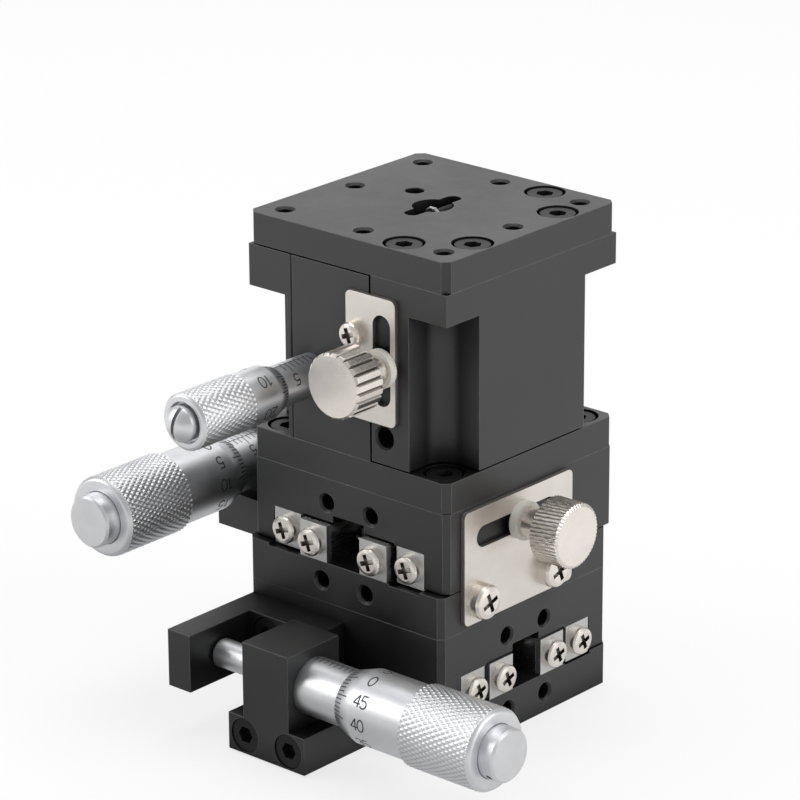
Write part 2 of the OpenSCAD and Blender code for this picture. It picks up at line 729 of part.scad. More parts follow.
module end_cap() {
    edge = 0.35;
    length = cap_l + dish_depth;
    head_axis() translate([0, 0, edge_x + thimble_l - dish_depth]) difference() {
        rotate_extrude() polygon([
            [0, 0], [cap_d / 2, 0], [cap_d / 2, length - edge], [cap_d / 2 - edge, length], [0, length]
        ]);
        rotate([0, 0, -50]) translate([cap_d / 4, 0, dish_depth + cap_l / 2]) to_x()
            cylinder(d = 1.1, h = cap_d);
    }
}

// Lock plate and knob, drawn in front of the +Y face

module lock_plate() {
    plate_x = lock_x + slot_l / 2 + lock_end;
    length = slot_l + lock_over;
    translate([0, half_w, 0]) difference() {
        translate([plate_x - length, 0, lock_z]) upright_plate(length, lock_h);
        translate([lock_x, -1, lock_knob_z]) slot_x(slot_l);
        for (x = lock_screw_x) translate([x, -1, lock_screw_z]) to_y() cylinder(d = pan_tap_d, h = 3);
    }
}
// A plate with round corners in the XZ plane, from the origin, lock_t thick along +Y
module upright_plate(length, height) {
    difference() {
        cube([length, lock_t, height]);
        for (x = [0, 1], z = [0, 1]) translate([x * length, -1, z * height])
            mirror([x, 0, 0]) mirror([0, 0, z]) difference() {
                translate([-1, 0, -1]) cube([lock_r + 1, 3, lock_r + 1]);
                translate([lock_r, -1, lock_r]) to_y() cylinder(r = lock_r, h = 5);
            }
    }
}
module slot_x(length) {
    run = (length - slot_w) / 2;
    for (x = [-run, run]) translate([x, 0, 0]) to_y() cylinder(d = slot_w, h = 4);
    translate([-run, 0, -slot_w / 2]) cube([2 * run, 4, slot_w]);
}
module lock_screws() {
    for (x = lock_screw_x) translate([x, half_w + lock_t, lock_screw_z]) to_y()
        pan_screw(lock_head_d, lock_head_h);
}

// Washer and knob stand on z = 0, the plate's outer face
module washer() {
    difference() {
        cylinder(d = washer_d, h = washer_t);
        translate([0, 0, -1]) cylinder(d = stud_d + 0.1, h = washer_t + 2);
    }
}
module knob_stem() {
    depth = lock_t + stud_depth;
    translate([0, 0, -depth]) cylinder(d = stud_d, h = depth + washer_t + 2 * eps);
    translate([0, 0, washer_t + eps]) cylinder(d = neck_d, h = neck_l + eps);
}
module fine_knob() {
    r = knob_d / 2;
    edge = 0.35;
    knob_stem();
    translate([0, 0, washer_t + neck_l]) rotate_extrude() polygon([
        [0, 0], [r - edge, 0], [r, edge], [r, knob_l - edge], [r - edge, knob_l], [0, knob_l]
    ]);
}
module grooved_knob() {
    r = knob_d / 2;
    edge = 0.4;
    pitch = 360 / knob_grooves;
    outline = [for (i = [0 : knob_grooves - 1], p = [[0.12, r], [0.72, r], [0.92, r - groove_depth]])
        p[1] * [cos((i + p[0]) * pitch), sin((i + p[0]) * pitch)]];
    knob_stem();
    translate([0, 0, washer_t + neck_l]) difference() {
        linear_extrude(knob_l) polygon(outline);
        translate([0, 0, knob_l - edge]) difference() {
            cylinder(r = r + 1, h = 1);
            translate([0, 0, -eps]) cylinder(r1 = r, r2 = r - edge - 0.05, h = edge + 0.05);
        }
    }
}
module lock_place() { translate([lock_x, half_w + lock_t, lock_knob_z]) to_y() children(); }

// Return spring: hooks under a pin at z = 0 and over a pin at z = length, both pins along Y

function unit(v) = v / norm(v);
function spring_path(length, turns) =
    let (hook = post_d / 2 + wire_d / 2 + 0.1, steps = 8 * turns)
    concat(
        [[-hook, 0, 1.2]],
        [for (i = [0 : 5]) hook * [-cos(i * 36), 0, -sin(i * 36)]],
        [for (i = [0 : steps]) [coil_r * cos(i * 45), coil_r * sin(i * 45),
                                lead_l + (length - 2 * lead_l) * i / steps]],
        [for (i = [0 : 5]) [hook * cos(i * 36), 0, length + hook * sin(i * 36)]],
        [[-hook, 0, length - 1.2]]
    );
function tangents(p) = [for (i = [0 : len(p) - 1]) unit(p[min(i + 1, len(p) - 1)] - p[max(i - 1, 0)])];
function carried(t, i, n, done) =
    i == len(t) ? done :
    let (m = unit(n - (n * t[i]) * t[i])) carried(t, i + 1, m, concat(done, [m]));
function least_gap(p) =
    min([for (i = [0 : len(p) - 7], j = [i + 6 : len(p) - 1]) norm(p[i] - p[j])]) - wire_d;

module spring(length, turns, label) {
    sides = 6;
    path = spring_path(length, turns);
    t = tangents(path);
    n = carried(t, 0, [0, 1, 0], []);
    points = [for (i = [0 : len(path) - 1], k = [0 : sides - 1])
        let (b = cross(t[i], n[i]), a = k * 360 / sides)
        path[i] + wire_d / 2 * (cos(a) * n[i] + sin(a) * b)];
    last = (len(path) - 1) * sides;
    walls = [for (i = [0 : len(path) - 2], k = [0 : sides - 1], f = [0, 1])
        let (a = i * sides + k, b = i * sides + (k + 1) % sides)
        f == 0 ? [a, a + sides, b] : [b, a + sides, b + sides]];
    caps = [for (k = [1 : sides - 2], f = [0, 1])
        f == 0 ? [0, k, k + 1] : [last, last + k + 1, last + k]];
    echo(str(label, ": least gap of the wire to itself ", least_gap(path), " mm"));
    polyhedron(points, concat(walls, caps));
}
// A horizontal spring between the fixed post and the moving post, with the table at the given offset
module stage_spring(offset, label) {
    translate([-post_x + offset, 0, spring_z]) rotate([90, 0, 90])
        spring(2 * post_x - offset, coil_turns, label);
}

// Lift

// Removes one corner of a block, with a round inner corner, towards +X and +Y
module notch_cut(side, height) {
    inner = half_w - side;
    translate([inner + notch_r, inner, 0]) cube([side, side + 1, height]);
    translate([inner, inner + notch_r, 0]) cube([side + 1, side, height]);
    translate([inner + notch_r, inner + notch_r, 0]) cylinder(r = notch_r, h = height);
}

module lift_base() {
    difference() {
        block(stage_w, plate_t, plate_chamfer);
        corners() {
            translate([0, 0, -1]) cylinder(d = cap_clear_d, h = plate_t + 2);
            translate([0, 0, plate_t - bore_depth]) cylinder(d = plate_bore_d, h = plate_t);
        }
        block_screw_places() {
            translate([0, 0, -1]) cylinder(d = cap_clear_d, h = plate_t + 2);
            translate([0, 0, -1]) cylinder(d = plate_bore_d, h = bore_depth + 1);
        }
        translate([0, 0, -1]) cylinder(d = spring_bore_d, h = plate_t + 2);
    }
    translate([0, 0, pin_low]) to_y() cylinder(d = post_d, h = spring_bore_d + 1, center = true);
}
module block_screw_places() {
    for (place = block_screws, side = [-1, 1]) translate([place[0], side * place[1], 0]) children();
}
module block_screw_hole(place) {
    for (side = [-1, 1]) translate([place[0], side * place[1], plate_t]) mirror([0, 0, 1])
        tapped_hole(tap_d, block_tap_depth, 0);
}
// A block between the seam and x = far, over the whole width, with a small chamfer along the seam
module seam_block(far) {
    near = -seam_x + (far > -seam_x ? seam_chamfer : -seam_chamfer);
    translate([0, 0, plate_t]) linear_extrude(block_top - plate_t) polygon([
        [-seam_x, half_w - seam_chamfer], [near, half_w], [far, half_w],
        [far, -half_w], [near, -half_w], [-seam_x, -half_w + seam_chamfer]
    ]);
}

module lift_fixed_block() {
    difference() {
        seam_block(fixed_face_x);
        // pocket of the rails
        translate([z_rail_x, -gap_mid, 0]) cube([stage_w, 2 * gap_mid, lift_h]);
        both_sides() translate([z_rail_x - rail_clear, gap_mid - eps, 0])
            cube([stage_w, pocket_half - gap_mid, lift_h]);
        // micrometer's bore and the lever's pocket
        translate([-z_head_x, -half_w - 1, z_head_z]) to_y()
            cylinder(d = z_shank_d + shank_play, h = half_w + pocket_front + 2);
        translate([-z_head_x - pocket_w / 2, pocket_front, pocket_z])
            cube([pocket_w, pocket_back - pocket_front, lift_h]);
        translate([-seam_x - 1, lever_y, lever_z]) to_x()
            cylinder(d = lever_pin_d + shank_play, h = pin_span + 1);
        cylinder(d = spring_bore_d, h = lift_h);
        block_screw_hole(block_screws[0]);
        for (z = z_plate_screw_z) translate([z_plate_screw_x, -half_w, z]) to_front()
            tapped_hole(pan_tap_d, pan_screw_l - lock_t + 0.1, 0);
    }
}

module lift_side_block() {
    difference() {
        seam_block(-half_w);
        for (side = [0, 1]) mirror([0, side, 0]) mirror([1, 0, 0])
            translate([0, 0, plate_t - 1]) notch_cut(side_notch, block_top - plate_t - side_flange + 1);
        block_screw_hole(block_screws[1]);
    }
}

module lift_carriage() {
    low = plate_t + lift_gap;
    top = lift_h - plate_t;
    difference() {
        translate([carriage_face_x, -half_w, low]) cube([half_w - carriage_face_x, stage_w, top - low]);
        for (side = [0, 1]) mirror([0, side, 0])
            translate([0, 0, low - 1]) notch_cut(notch, top - low - carriage_flange + 1);
        translate([0, -pocket_half, 0]) cube([z_rail_x + rail_h, 2 * pocket_half, lift_h]);
        translate([0, -gap_mid, 0]) cube([z_rail_x + rail_h + rail_clear, 2 * gap_mid, lift_h]);
        top_screw_places() translate([0, 0, top]) tapped_hole(tap_d, block_tap_depth, 0);
        translate([z_slot_x, -half_w, z_knob_z]) to_front() tapped_hole(stud_tap_d, stud_depth + 0.2, 0);
        translate([spare_hole_x, -half_w, spare_hole_z]) to_front()
            tapped_hole(spare_hole_d, spare_hole_depth);
    }
}
module top_screw_places() {
    for (place = top_screws, side = [-1, 1]) translate([place[0], side * place[1], 0]) children();
}

module lift_top() {
    difference() {
        translate([0, 0, lift_h - plate_t]) block(stage_w, plate_t, plate_chamfer);
        for (x = [-bolt, 0, bolt], y = [-bolt, 0, bolt])
            if (x != 0 || y != 0) translate([x, y, lift_h]) tapped_hole(tap_d, plate_t + 1);
        top_screw_places() {
            cylinder(d = cap_clear_d, h = lift_h + 1);
            translate([0, 0, lift_h - bore_depth]) cylinder(d = plate_bore_d, h = plate_t);
        }
        translate([-z_head_x, lift_screw_y, lift_h]) tapped_hole(lift_screw_d + 0.1, plate_t + 1, 0.1);
        cylinder(d = top_hole_d, h = lift_h + 1);
        translate([0, 0, lift_h - pin_slot_depth]) pin_slot();
    }
}
module pin_slot() {
    run = (pin_slot_l - pin_slot_w) / 2;
    for (y = [-run, run]) translate([0, y, 0]) cylinder(d = pin_slot_w, h = plate_t);
    translate([-pin_slot_w / 2, -run, 0]) cube([pin_slot_w, 2 * run, plate_t]);
}

module lift_rails(inner) {
    translate([z_rail_x, 0, z_rail_z + z_rail_l / 2]) rotate([0, 90, 0]) mirror([1, 0, 0])
        rails(inner, z_rail_l);
}
module lift_cages() {
    translate([z_rail_x + rail_h / 2, 0, z_rail_z + z_rail_l / 2 - lift_travel / 2 - 1]) rotate([0, 90, 0])
        roller_cages(z_roller_count);
}

module z_head_axis() { translate([-z_head_x, 0, z_head_z]) to_front() children(); }
module lift_sleeve() {
    bore_end = -pocket_front;
    z_head_axis() difference() {
        union() {
            translate([0, 0, bore_end]) cylinder(d = z_shank_d, h = half_w - bore_end + eps);
            translate([0, 0, half_w]) cylinder(d = z_sleeve_d, h = z_sleeve_end - half_w);
        }
        translate([0, 0, bore_end - 1])
            cylinder(d = z_spindle_d + 2 * run_play, h = z_sleeve_end - bore_end + 2);
    }
}
module lift_spindle() {
    z_head_axis() translate([0, 0, -tip_y])
        cylinder(d = z_spindle_d, h = z_edge + z_thimble_l - z_thimble_wall - 0.1 + tip_y);
}
module lift_thimble() {
    z_head_axis() translate([0, 0, z_edge]) difference() {
        thimble_shape(z_sleeve_d + 2 * z_edge_wall, z_thimble_d, z_knurl_d, z_sleeve_d + 2 * run_play,
                      z_bevel_l, z_plain_l, z_thimble_l, z_thimble_wall, z_end_round);
        translate([0, 0, z_thimble_l - z_recess]) cylinder(d = z_end_screw_d + 0.8, h = z_recess + 1);
    }
}
module domed_screw() {
    r = z_end_screw_d / 2;
    rim = z_recess + z_end_screw_l;
    ball = (r * r + z_dome_h * z_dome_h) / (2 * z_dome_h);
    z_head_axis() translate([0, 0, z_edge + z_thimble_l - z_recess]) difference() {
        intersection() {
            cylinder(r = r, h = rim + z_dome_h + 1);
            translate([0, 0, rim + z_dome_h - ball]) sphere(r = ball);
        }
        rotate([0, 0, 81]) translate([-2 * r, -z_end_slot / 2, rim - 0.1])
            cube([4 * r, z_end_slot, z_dome_h + 1]);
    }
}

module bell_crank() {
    translate([-z_head_x - lever_w / 2, lever_y, lever_z]) rotate([-lever_tilt, 0, 0]) difference() {
        union() {
            to_x() cylinder(r = lever_hub_r, h = lever_w);
            for (nose = [[0, -lever_arm], [lever_arm, 0]])
                translate([0, nose[0], nose[1]]) to_x() cylinder(r = nose_r, h = lever_w);
            translate([0, 0, -lever_bar / 2]) cube([lever_w, lever_arm, lever_bar]);
            translate([0, -lever_bar / 2, -lever_arm]) cube([lever_w, lever_bar, lever_arm]);
        }
        translate([-1, 0, 0]) to_x() cylinder(d = lever_pin_d + 2 * run_play, h = lever_w + 2);
    }
}
module lever_pin() {
    translate([-seam_x, lever_y, lever_z]) to_x() cylinder(d = lever_pin_d, h = pin_span);
}
module lift_screw() {
    top = lift_h - lift_screw_drop;
    socket = 1.5;
    translate([-z_head_x, lift_screw_y, 0]) difference() {
        translate([0, 0, lift_tip_z]) cylinder(d = lift_screw_d, h = top - lift_tip_z);
        translate([0, 0, top - socket]) cylinder(d = socket / cos(30), h = socket + 1, $fn = 6);
    }
}

module lift_lock_plate() {
    translate([0, -half_w - lock_t, 0]) difference() {
        translate([z_lock_x, 0, z_lock_z]) upright_plate(z_lock_w, z_lock_h);
        translate([z_slot_x, -1, z_slot_z + z_slot_l / 2]) rotate([0, 90, 0]) slot_x(z_slot_l);
        for (z = z_plate_screw_z) translate([z_plate_screw_x, -1, z]) to_y() cylinder(d = pan_tap_d, h = 3);
    }
}
module z_lock_place() { translate([z_slot_x, -half_w - lock_t, z_knob_z]) to_front() children(); }

module base_plate_screws() {
    corners() translate([0, 0, plate_t - bore_depth]) cap_screw(cap_screw_l);
    block_screw_places() translate([0, 0, bore_depth]) mirror([0, 0, 1]) cap_screw(cap_screw_l);
}

// Nodes that stand on the bench

module x_base_block() { color(black_anodised) stage_base(); }
module x_inner_rails() { color(rail_steel) translate([0, 0, rail_z]) rails(true, rail_l); }
module x_inner_stops() { color(satin_steel) stops(true); }
module base_pan_screws() { color(nickel) { stop_screws(true); lock_screws(); } }
module x_bracket() { color(black_anodised) bracket(); }
module x_bracket_screws() { color(dark_steel) bracket_screws(); }
module x_sleeve() { color(satin_steel) sleeve(); }
module x_lock_plate() { color(nickel) lock_plate(); }

// Nodes that move along X

module x_table() { color(black_anodised) x_moving() stage_table(); }
module x_outer_rails() { color(rail_steel) x_moving() translate([0, 0, rail_z]) rails(false, rail_l); }
module x_arm() { color(black_anodised) x_moving() arm(); }
module y_base_block() { color(black_anodised) y_fixed() stage_base(); }
module y_inner_rails() { color(rail_steel) y_fixed() translate([0, 0, rail_z]) rails(true, rail_l); }
module middle_stops() { color(satin_steel) { x_moving() stops(false); y_fixed() stops(true); } }
module middle_pan_screws() {
    color(nickel) {
        x_moving() stop_screws(false);
        y_fixed() { stop_screws(true); lock_screws(); }
    }
}
module y_bracket() { color(black_anodised) y_fixed() bracket(); }
module middle_cap_screws() {
    color(dark_steel) {
        x_moving() arm_screws();
        y_fixed() { bracket_screws(); corner_screws(); }
    }
}
module y_sleeve() { color(satin_steel) y_fixed() sleeve(); }
module y_lock_plate() { color(nickel) y_fixed() lock_plate(); }
module x_roller_cages() {
    color(cage_brass) x_halfway() translate([0, 0, rail_z + rail_h / 2]) roller_cages(roller_count);
}
module x_spindle() { color(satin_steel) x_moving() spindle(); }
module x_thimble() { color(satin_steel) x_moving() thimble(); }
module x_end_cap() { color(satin_steel) x_moving() end_cap(); }
module x_lock_washer() { color(nylon_white) x_moving() lock_place() washer(); }
module x_lock_knob() { color(nickel) x_moving() lock_place() fine_knob(); }
module x_return_spring() { color(rail_steel) stage_spring(x_rest, "X return spring"); }

// Nodes that move along Y

module y_table() { color(black_anodised) y_moving() stage_table(); }
module y_outer_rails() { color(rail_steel) y_moving() translate([0, 0, rail_z]) rails(false, rail_l); }
module y_outer_stops() { color(satin_steel) y_moving() stops(false); }
module upper_pan_screws() {
    color(nickel) {
        y_moving() stop_screws(false);
        lift() for (z = z_plate_screw_z)
            translate([z_plate_screw_x, -half_w - lock_t, z]) to_front()
                pan_screw(small_head_d, small_head_h);
    }
}
module y_arm() { color(black_anodised) y_moving() arm(); }
module upper_cap_screws() { color(dark_steel) { y_moving() arm_screws(); lift() base_plate_screws(); } }
module y_roller_cages() {
    color(cage_brass) y_halfway() translate([0, 0, rail_z + rail_h / 2]) roller_cages(roller_count);
}
module y_spindle() { color(satin_steel) y_moving() spindle(); }
module y_thimble() { color(satin_steel) y_moving() thimble(); }
module y_end_cap() { color(satin_steel) y_moving() end_cap(); }
module y_lock_washer() { color(nylon_white) y_moving() lock_place() washer(); }
module y_lock_knob() { color(nickel) y_moving() lock_place() fine_knob(); }
module y_return_spring() { color(rail_steel) y_fixed() stage_spring(-y_rest, "Y return spring"); }

// Nodes of the lift's fixed half, which moves along Y

module z_base_plate() { color(black_anodised) lift() lift_base(); }
module z_fixed_block() { color(black_anodised) lift() lift_fixed_block(); }
module z_side_block() { color(black_anodised) lift() lift_side_block(); }
module z_fixed_rails() { color(rail_steel) lift() lift_rails(true); }
module z_sleeve() { color(satin_steel) lift() lift_sleeve(); }
module z_lock_plate() { color(nickel) lift() lift_lock_plate(); }
module z_lever_pin() { color(rail_steel) lift() lever_pin(); }

// Nodes that move along Z, and the lift's drive

module z_carriage() { color(black_anodised) lift() lift_carriage(); }
module top_plate() { color(black_anodised) lift() lift_top(); }
module top_cap_screws() {
    color(dark_steel) lift() top_screw_places() translate([0, 0, lift_h - bore_depth]) cap_screw(cap_screw_l);
}
module z_moving_rails() { color(rail_steel) lift() lift_rails(false); }
module z_lift_screw() { color(dark_steel) lift() lift_screw(); }
module z_spring_pin() {
    color(satin_steel) lift() translate([0, 0, pin_high]) to_y()
        cylinder(d = post_d, h = pin_slot_l - 1, center = true);
}
module z_roller_cages() { color(cage_brass) lift() lift_cages(); }
module z_spindle() { color(satin_steel) lift() lift_spindle(); }
module z_thimble() { color(satin_steel) lift() lift_thimble(); }
module z_end_screw() { color(satin_steel) lift() domed_screw(); }
module z_lock_washer() { color(nylon_white) lift() z_lock_place() washer(); }
module z_lock_knob() { color(nickel) lift() z_lock_place() grooved_knob(); }
module z_lever() { color(rail_steel) lift() bell_crank(); }
module z_return_spring() {
    color(rail_steel) lift() translate([0, 0, pin_low])
        spring(pin_high - pin_low, z_coil_turns, "Z return spring");
}

x_base_block();
x_inner_rails();
x_inner_stops();
base_pan_screws();
x_bracket();
x_bracket_screws();
x_sleeve();
x_lock_plate();
x_table();
x_outer_rails();
x_arm();
y_base_block();
y_inner_rails();
middle_stops();
middle_pan_screws();
y_bracket();
middle_cap_screws();
y_sleeve();
y_lock_plate();
x_roller_cages();
x_spindle();
x_thimble();
x_end_cap();
x_lock_washer();
x_lock_knob();
x_return_spring();
y_table();
y_outer_rails();
y_outer_stops();
upper_pan_screws();
y_arm();
upper_cap_screws();
y_roller_cages();
y_spindle();
y_thimble();
y_end_cap();
y_lock_washer();
y_lock_knob();
y_return_spring();
z_base_plate();
z_fixed_block();
z_side_block();
z_fixed_rails();
z_sleeve();
z_lock_plate();
z_lever_pin();
z_carriage();
top_plate();
top_cap_screws();
z_moving_rails();
z_lift_screw();
z_spring_pin();
z_roller_cages();
z_spindle();
z_thimble();
z_end_screw();
z_lock_washer();
z_lock_knob();
z_lever();
z_return_spring();
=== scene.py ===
import math

import bmesh
import bpy
from mathutils import Matrix, Vector


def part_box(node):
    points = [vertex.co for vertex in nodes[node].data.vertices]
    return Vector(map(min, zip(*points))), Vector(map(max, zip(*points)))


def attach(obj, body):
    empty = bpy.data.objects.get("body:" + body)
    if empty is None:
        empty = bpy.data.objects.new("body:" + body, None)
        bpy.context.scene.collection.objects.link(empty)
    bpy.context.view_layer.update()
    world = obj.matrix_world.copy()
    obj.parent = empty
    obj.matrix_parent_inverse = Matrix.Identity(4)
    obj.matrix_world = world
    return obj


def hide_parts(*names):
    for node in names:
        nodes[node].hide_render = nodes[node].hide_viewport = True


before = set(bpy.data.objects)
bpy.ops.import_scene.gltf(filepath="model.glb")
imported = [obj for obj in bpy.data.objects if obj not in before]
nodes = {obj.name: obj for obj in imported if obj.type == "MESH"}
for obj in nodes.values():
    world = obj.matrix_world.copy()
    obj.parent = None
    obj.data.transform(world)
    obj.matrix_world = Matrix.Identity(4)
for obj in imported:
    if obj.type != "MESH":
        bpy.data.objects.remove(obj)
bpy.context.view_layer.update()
mm = 0.001
print("frame loaded:", len(nodes), "nodes")


# Camera: the photograph's viewpoint, in front of the right-hand corner and about 20 degrees up
def setCamera():
    camera = bpy.data.objects.new("camera", bpy.data.cameras.new("camera"))
    bpy.context.scene.collection.objects.link(camera)
    right = Vector((0.7510274, 0.66025209, -0.00500184))
    up = Vector((-0.2259267, 0.26409184, 0.93766339))
    back = Vector((0.62041516, -0.70308084, 0.34750879))
    place = Vector((401.461, -461.783, 275.479)) * mm
    camera.matrix_world = Matrix((
        (right.x, up.x, back.x, place.x),
        (right.y, up.y, back.y, place.y),
        (right.z, up.z, back.z, place.z),
        (0, 0, 0, 1),
    ))
    camera.data.sensor_width = 36
    camera.data.lens = 188.91
    camera.data.clip_start = 0.01
    camera.data.clip_end = 20
    bpy.context.scene.camera = camera


# Small helpers for node materials
def addNode(tree, kind, settings=None, values=None):
    node = tree.nodes.new("ShaderNode" + kind)
    for key, value in (settings or {}).items():
        setattr(node, key, value)
    for key, value in (values or {}).items():
        node.inputs[key].default_value = value
    return node


def newFinish(name, constants):
    material = bpy.data.materials.new(name)
    material.use_nodes = True
    tree = material.node_tree
    shader = tree.nodes["Principled BSDF"]
    for key, value in constants.items():
        shader.inputs[key].default_value = value
    return material, tree, shader


def grainNoise(tree, scale, stretch=(1, 1, 1), detail=3, roughness=0.6):
    place = addNode(tree, "TexCoord")
    mapping = addNode(tree, "Mapping", values={"Scale": stretch})
    noise = addNode(tree, "TexNoise", values={"Scale": scale, "Detail": detail, "Roughness": roughness})
    tree.links.new(place.outputs["Object"], mapping.inputs["Vector"])
    tree.links.new(mapping.outputs["Vector"], noise.inputs["Vector"])
    return noise.outputs["Fac"]


def spread(tree, value, low, high, start=0.3, end=0.7):
    node = addNode(tree, "MapRange", values={
        "From Min": start, "From Max": end, "To Min": low, "To Max": high})
    tree.links.new(value, node.inputs["Value"])
    return node.outputs["Result"]


def blendColours(tree, factor, first, second):
    node = addNode(tree, "ValToRGB")
    node.color_ramp.elements[0].color = (*first, 1)
    node.color_ramp.elements[1].color = (*second, 1)
    tree.links.new(factor, node.inputs["Fac"])
    return node.outputs["Color"]


# Likeness of the rounded normal and the true one, on an edge and on a flat face
edgeLook = {"samples": 4, "onEdge": 0.9, "onFlat": 0.998}


def roundedEdges(tree, radius):
    return addNode(tree, "Bevel", {"samples": edgeLook["samples"]}, {"Radius": radius}).outputs["Normal"]


# How much a surface point lies on an edge, from 0 to 1
def edgeShare(tree, rounded):
    geometry = addNode(tree, "NewGeometry")
    likeness = addNode(tree, "VectorMath", {"operation": "DOT_PRODUCT"})
    tree.links.new(rounded, likeness.inputs[0])
    tree.links.new(geometry.outputs["Normal"], likeness.inputs[1])
    return spread(tree, likeness.outputs["Value"], 1, 0, edgeLook["onEdge"], edgeLook["onFlat"])


# Painted shade in recesses, slots and the grooves of a knurl: the colour is darkened where ambient occlusion
# finds little open sky. deep and open are how much sky a point sees
recessShadeLook = {"samples": 6, "deep": 0.35, "open": 0.85}


def addGrime(tree, colour, reach, darkestShade):
    made = recessShadeLook
    openness = addNode(tree, "AmbientOcclusion", {"samples": made["samples"], "only_local": True},
                       {"Distance": reach})
    share = spread(tree, openness.outputs["AO"], darkestShade, 1, made["deep"], made["open"])
    shade = addNode(tree, "VectorMath", {"operation": "SCALE"})
    tree.links.new(colour, shade.inputs[0])
    tree.links.new(share, shade.inputs["Scale"])
    return shade.outputs["Vector"]


def addBump(tree, shader, height, distance, strength, rounded):
    bump = addNode(tree, "Bump", values={"Strength": strength, "Distance": distance})
    tree.links.new(height, bump.inputs["Height"])
    tree.links.new(rounded, bump.inputs["Normal"])
    tree.links.new(bump.outputs["Normal"], shader.inputs["Normal"])


# Bead-blasted, black anodised aluminium: fine even grain, handling marks, and a painted highlight along its
# edges.
# Where pieces meet, painted shade: the shine is turned down, and the edges get no painted highlight
blackAnodised = {
    "ior": 1.65, "dark": (0.0045, 0.0045, 0.005), "pale": (0.009, 0.009, 0.0095), "patches": 90,
    "edgeHighlight": (0.17, 0.168, 0.17), "highlightPatches": 420, "leastHighlight": 0.35,
    "roughness": (0.34, 0.48), "smudges": 45, "edgeRadius": 0.2 * mm,
    "grain": 5200, "grainDepth": 0.006 * mm, "grainStrength": 0.5,
    "shadeSamples": 6, "shadeReach": 6 * mm, "shadedShine": 0.08, "openShine": 0.5,
    "shineFrom": 0.4, "shineTo": 0.9, "highlightFrom": 0.7, "highlightTo": 0.95,
}


def makeBlackAnodised():
    made = blackAnodised
    material, tree, shader = newFinish("blackAnodised", {"IOR": made["ior"], "Metallic": 0})
    rounded = roundedEdges(tree, made["edgeRadius"])
    patches = grainNoise(tree, made["patches"], detail=5)
    colour = blendColours(tree, spread(tree, patches, 0, 1), made["dark"], made["pale"])
    # Painted shade: ambient occlusion finds where pieces meet and where the floor is near
    shadeProbe = addNode(tree, "AmbientOcclusion", {"samples": made["shadeSamples"]},
                      {"Distance": made["shadeReach"]})
    openness = shadeProbe.outputs["AO"]
    # Painted highlight: a paler colour on the edges, patchy, and kept off the seams by the ambient occlusion
    edgeHighlight = addNode(tree, "Mix", {"data_type": "RGBA"})
    edgeHighlight.inputs["B"].default_value = (*made["edgeHighlight"], 1)
    openEdge = addNode(tree, "Math", {"operation": "MULTIPLY"})
    patchyHighlight = addNode(tree, "Math", {"operation": "MULTIPLY"})
    tree.links.new(edgeShare(tree, rounded), openEdge.inputs[0])
    tree.links.new(spread(tree, openness, 0, 1, made["highlightFrom"], made["highlightTo"]), openEdge.inputs[1])
    tree.links.new(openEdge.outputs["Value"], patchyHighlight.inputs[0])
    highlightNoise = grainNoise(tree, made["highlightPatches"], detail=4)
    tree.links.new(spread(tree, highlightNoise, made["leastHighlight"], 1), patchyHighlight.inputs[1])
    tree.links.new(patchyHighlight.outputs["Value"], edgeHighlight.inputs["Factor"])
    tree.links.new(colour, edgeHighlight.inputs["A"])
    tree.links.new(edgeHighlight.outputs["Result"], shader.inputs["Base Color"])
    smudges = grainNoise(tree, made["smudges"], detail=6, roughness=0.7)
    low, high = made["roughness"]
    tree.links.new(spread(tree, smudges, low, high), shader.inputs["Roughness"])
    # Painted shade in the shine: less specular where the occlusion finds the point hemmed in
    shine = spread(tree, openness, made["shadedShine"], made["openShine"],
                   made["shineFrom"], made["shineTo"])
    tree.links.new(shine, shader.inputs["Specular IOR Level"])
    grain = grainNoise(tree, made["grain"], detail=2)
    addBump(tree, shader, grain, made["grainDepth"], made["grainStrength"], rounded)
    return material


# What all lined metals share: size of their patches, how far these change the grain, and the grain's range
metalLook = {
    "patches": 160, "leastGrain": 0.85, "mostGrain": 1.15, "grainFrom": 0.25, "grainTo": 0.75,
    "lineStrength": 0.4, "edgeRadius": 0.08 * mm,
}


# A metal with fine lines left by turning, grinding or brushing.
# lines says how fast the grain changes along each axis
def makeLinedMetal(name, made):
    look = metalLook
    material, tree, shader = newFinish(name, {
        "Metallic": made.get("metallic", 1.0), "Specular IOR Level": made.get("specular", 0.5)})
    rounded = roundedEdges(tree, made.get("edgeRadius", look["edgeRadius"]))
    lines = grainNoise(tree, made["grain"], made["lines"], detail=3)
    patches = grainNoise(tree, look["patches"], detail=5)
    colour = blendColours(tree, spread(tree, patches, 0, 1), made["dark"], made["pale"])
    # Metals given a darkest share get painted shade in their recesses and grooves
    if "darkestShade" in made:
        colour = addGrime(tree, colour, made["reach"], made["darkestShade"])
    tree.links.new(colour, shader.inputs["Base Color"])
    both = addNode(tree, "Math", {"operation": "MULTIPLY"})
    tree.links.new(lines, both.inputs[0])
    tree.links.new(spread(tree, patches, look["leastGrain"], look["mostGrain"]), both.inputs[1])
    low, high = made["roughness"]
    roughness = spread(tree, both.outputs["Value"], low, high, look["grainFrom"], look["grainTo"])
    tree.links.new(roughness, shader.inputs["Roughness"])
    addBump(tree, shader, lines, made["lineDepth"], look["lineStrength"], rounded)
    return material


alongX = (1, 0.03, 0.03)
alongY = (0.03, 1, 0.03)
lengthwise = (0.03, 0.03, 1)
everyWay = (1, 1, 1)
